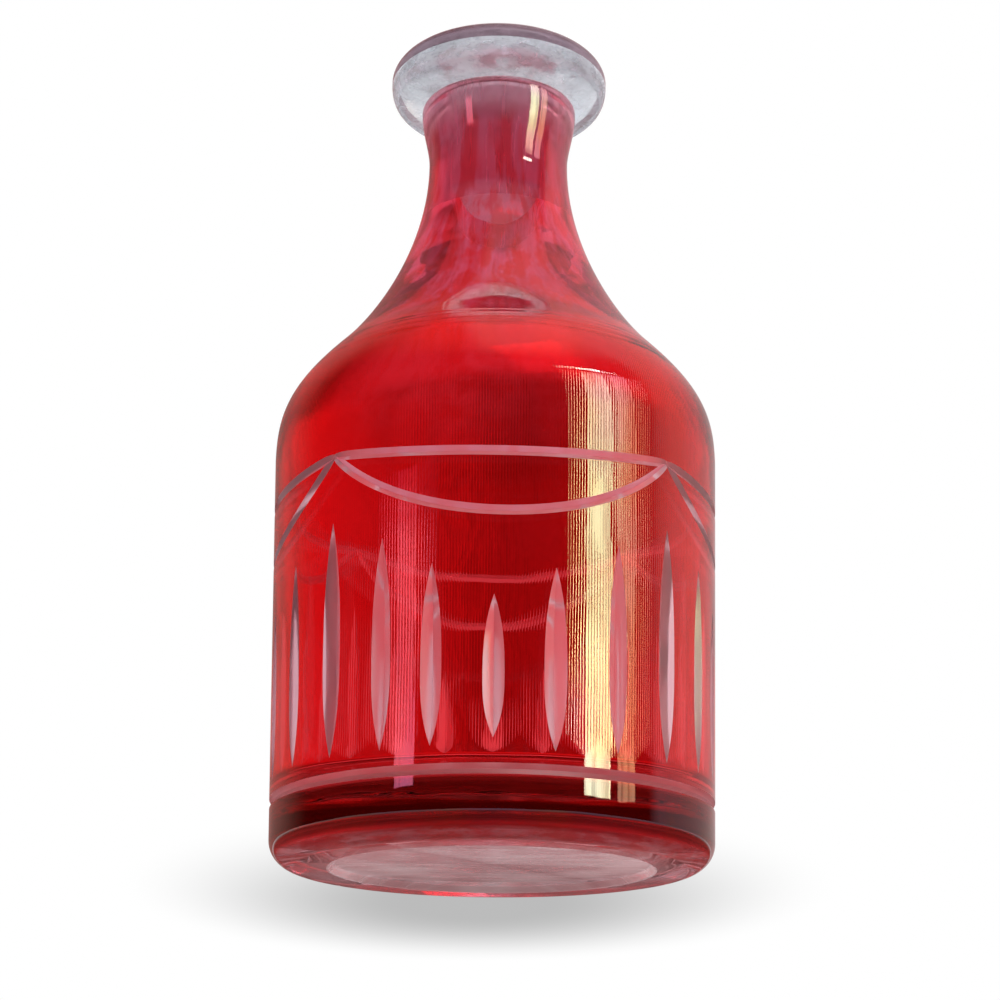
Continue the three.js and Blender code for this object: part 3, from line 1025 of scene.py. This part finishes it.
def world_light(scene):
    """White behind the decanter for the camera. Light that comes through the glass, is mirrored
    by it or is scattered meets a studio of its own each."""
    world = bpy.data.worlds.new("studio")
    scene.world = world
    world.use_nodes = True
    tree = Tree(world.node_tree)
    direction = tree.add("ShaderNodeTexCoord").outputs["Generated"]
    parts = tree.add("ShaderNodeSeparateXYZ", {"Vector": direction})
    x, y, z = (parts.outputs[name] for name in "XYZ")
    path = tree.add("ShaderNodeLightPath")
    stir = tree.noise(direction, 9.0, 2.0)
    side = tree.math("MULTIPLY_ADD", stir, 0.03, x)
    rise = tree.math("MULTIPLY_ADD", stir, 0.05, z)
    white = 1.0
    mirrored = light_mirrored(tree, x, y, z, stir)
    seen = tree.mix(path.outputs["Is Glossy Ray"], white, mirrored)
    through = light_through(tree, side, rise, z)
    seen = tree.mix(path.outputs["Is Transmission Ray"], seen, through)
    seen = tree.mix(path.outputs["Is Diffuse Ray"], seen, light_scattered(tree, y, z))
    seen = tree.mix(path.outputs["Is Camera Ray"], seen, white)
    tree.feed(world.node_tree.nodes["Background"].inputs["Color"], seen)


def plane(name, corners, material):
    mesh = bpy.data.meshes.new(name)
    mesh.from_pydata(corners, [], [tuple(range(len(corners)))])
    holder = placed(name, mesh, [material])
    return holder


def floor_material():
    """Pale floor that fades to white far away. It shows only from above. The glass sees a painted
    glow in its place, with painted shade in a ring round the foot, and dull surfaces see a painted
    bounce glow. From below it is clear and carries a painted soft shadow of the decanter."""
    tree = MaterialTree("pale_floor")
    tree.show("Base Color", 0.86)
    tree.show("Roughness", 0.7)
    path = tree.add("ShaderNodeLightPath")
    away = tree.reach(tree.place)

    white = 1.0
    open_floor = tree.blend(tree.ramp(away, 0.3, 1.3), tree.shader.outputs[0], tree.glow(white))
    in_glass = tree.math(
        "MAXIMUM", path.outputs["Is Glossy Ray"], path.outputs["Is Transmission Ray"]
    )
    # Painted light: glass sees a glow here, with painted shade in a dark ring round the foot.
    painted_glow_in_glass = tree.scale(
        away,
        (0.0, (0.62, 0.33, 0.35)),
        (0.035, (0.56, 0.29, 0.30)),
        (0.056, (0.38, 0.08, 0.08)),
        (0.072, (0.30, 0.07, 0.06)),
        (0.122, (0.46, 0.32, 0.30)),
        (0.15, (0.70, 0.74, 0.80)),
        (0.40, (0.85, 0.85, 0.88)),
    )
    lit = tree.blend(in_glass, open_floor, tree.glow(painted_glow_in_glass))
    # Painted light: the floor glows for dull surfaces and so lights the decanter's underside.
    painted_bounce_glow = tree.glow((1.4, 1.35, 1.35))
    lit = tree.blend(path.outputs["Is Diffuse Ray"], lit, painted_bounce_glow)

    # Painted shadow: a grey patch round a point behind the foot, which tints the view from below.
    shadow_middle, shadow_reach = (-2 * MM, 60 * MM, 0), (58 * MM, 95 * MM, 1)
    offset = tree.places("SUBTRACT", tree.place, shadow_middle)
    from_middle = tree.reach(tree.places("DIVIDE", offset, shadow_reach))
    shadow = tree.mix(tree.ramp(from_middle, 0.3, 1.6), 0.5, white)
    clear = tree.add("ShaderNodeBsdfTransparent", {"Color": shadow}).outputs[0]
    from_below = tree.add("ShaderNodeNewGeometry").outputs["Backfacing"]
    tree.surface(tree.blend(from_below, lit, clear))
    return tree.material


SOFTBOX_DISTANCE = 1.5
EVEN_WHITE = ((0.0, 1.0), (1.0, 1.0))
# Each softbox has its azimuth in degrees from the camera's side, positive to the right, the
# heights of its two ends, its width, its strength, and a tint for each share of its height.
SOFTBOXES = {
    "window_strip": (
        51.0, (0.185, 1.17), 0.36, 22.0,
        (
            (0.0, (0.95, 1.0, 0.50)),
            (0.13, (0.95, 1.0, 0.62)),
            (0.24, (0.45, 0.55, 0.30)),
            (0.60, (0.42, 0.36, 0.30)),
            (0.88, (0.42, 0.28, 0.25)),
            (1.0, (0.22, 0.13, 0.12)),
        ),
    ),
    "window_edge": (
        67.0, (0.185, 1.17), 0.28, 6.0,
        ((0.0, (1.0, 0.62, 0.32)), (0.25, (1.0, 0.60, 0.40)), (1.0, (0.9, 0.42, 0.55))),
    ),
    "left_strip": (
        -46.0, (0.20, 0.52), 0.26, 6.0,
        ((0.0, (1.0, 0.30, 0.52)), (0.7, (1.0, 0.20, 0.34)), (1.0, (0.3, 0.02, 0.05))),
    ),
    "window_top": (50.0, (1.24, 1.30), 0.42, 22.0, EVEN_WHITE),
    "table_glint": (58.0, (-0.42, -0.24), 0.60, 9.0, EVEN_WHITE),
}


def softbox(name, lit_pieces, azimuth, heights, width, strength, tints):
    """A tall lamp that stands round the decanter. Only some pieces are lit by it."""
    angle = math.radians(azimuth)
    outward = Vector((math.sin(angle), -math.cos(angle), 0)) * SOFTBOX_DISTANCE
    across = Vector((math.cos(angle), math.sin(angle), 0)) * (width / 2)
    low, high = (outward + Vector((0, 0, h)) for h in heights)
    tree = MaterialTree(name)
    rise = tree.math("SUBTRACT", tree.height, heights[0])
    tint = tree.scale(tree.math("DIVIDE", rise, heights[1] - heights[0]), *tints)
    streaks = tree.grain(tree.place, (22, 22, 1.5), 2.0)
    power = tree.ramp(streaks, 0.35, 0.55, 0.55 * strength, strength)
    tree.surface(tree.glow(tint, power))
    corners = [low - across, low + across, high + across, high - across]
    card = plane(name, corners, tree.material)
    card.visible_camera = False
    card.visible_transmission = False
    card.light_linking.receiver_collection = lit_pieces


def area_lamp(name, place, aim, size, power):
    data = bpy.data.lights.new(name, "AREA")
    data.size = size
    data.energy = power
    lamp = bpy.data.objects.new(name, data)
    bpy.context.collection.objects.link(lamp)
    lamp.location = place
    lamp.rotation_euler = (Vector(aim) - Vector(place)).to_track_quat("-Z", "Y").to_euler()
    lamp.visible_camera = False
    lamp.visible_glossy = False


def make_camera(scene, stage):
    """The photograph's view: from a little below the table, looking up."""
    turn = math.radians(-2.0)
    aside = math.radians(-0.14)
    roll = math.radians(0.5)
    data = bpy.data.cameras.new("camera")
    data.sensor_width = 36
    data.lens = stage.lens
    data.clip_start = 0.01
    camera = bpy.data.objects.new("camera", data)
    bpy.context.collection.objects.link(camera)
    place = Vector((0, -stage.camera_distance, -stage.camera_drop))
    place.rotate(Euler((0, 0, turn)))
    camera.location = place
    look = Euler((math.pi / 2 + stage.camera_pitch, 0, turn + aside)).to_matrix()
    spin = Euler((0, 0, roll)).to_matrix()
    camera.rotation_euler = (look @ spin).to_euler()
    scene.camera = camera


class DECANTER_OT_stage(bpy.types.Operator):
    """Make the pale floor, the lamps, the white surroundings and the camera"""

    bl_idname = "decanter.stage"
    bl_label = "Make Stage"
    bl_options = {"REGISTER", "UNDO"}

    def execute(self, context):
        scene = context.scene
        stage = scene.decanter.stage
        scene.view_settings.view_transform = "Standard"
        world_light(scene)
        side = 1.6
        corners = [(-side, -side, 0), (side, -side, 0), (side, side, 0), (-side, side, 0)]
        plane("floor", corners, floor_material())
        bottle_alone = bpy.data.collections.new("bottle_alone")
        bottle_alone.objects.link(bpy.data.objects["bottle_glass"])
        for name, box in SOFTBOXES.items():
            softbox(name, bottle_alone, *box)
        area_lamp("overhead", (0.5, -0.7, 1.6), (0, 0, 0.1), 0.9, 12)
        make_camera(scene, stage)
        return {"FINISHED"}


class DECANTER_PT_panel(bpy.types.Panel):
    """The decanter's operators and settings"""

    bl_idname = "DECANTER_PT_panel"
    bl_label = "Decanter"
    bl_space_type = "VIEW_3D"
    bl_region_type = "UI"
    bl_category = "Decanter"

    def draw(self, context):
        layout = self.layout
        for operator in MAKERS:
            layout.operator(operator.bl_idname)
        for group in ("bottle", "cuts", "glass", "stage"):
            settings = getattr(context.scene.decanter, group)
            box = layout.box()
            box.label(text=group.capitalize())
            for name in settings.__annotations__:
                box.prop(settings, name)


SETTINGS = (
    DecanterBottleSettings,
    DecanterCutSettings,
    DecanterGlassSettings,
    DecanterStageSettings,
    DecanterSettings,
)
MAKERS = (DECANTER_OT_bottle, DECANTER_OT_stopper, DECANTER_OT_stage)


def register():
    for cls in (*SETTINGS, *MAKERS, DECANTER_PT_panel):
        bpy.utils.register_class(cls)
    bpy.types.Scene.decanter = PointerProperty(type=DecanterSettings)


def unregister():
    del bpy.types.Scene.decanter
    for cls in reversed((*SETTINGS, *MAKERS, DECANTER_PT_panel)):
        bpy.utils.unregister_class(cls)


def main():
    register()
    bpy.ops.decanter.bottle()
    bpy.ops.decanter.stopper()
    bpy.ops.decanter.stage()


if __name__ == "__main__":
    main()
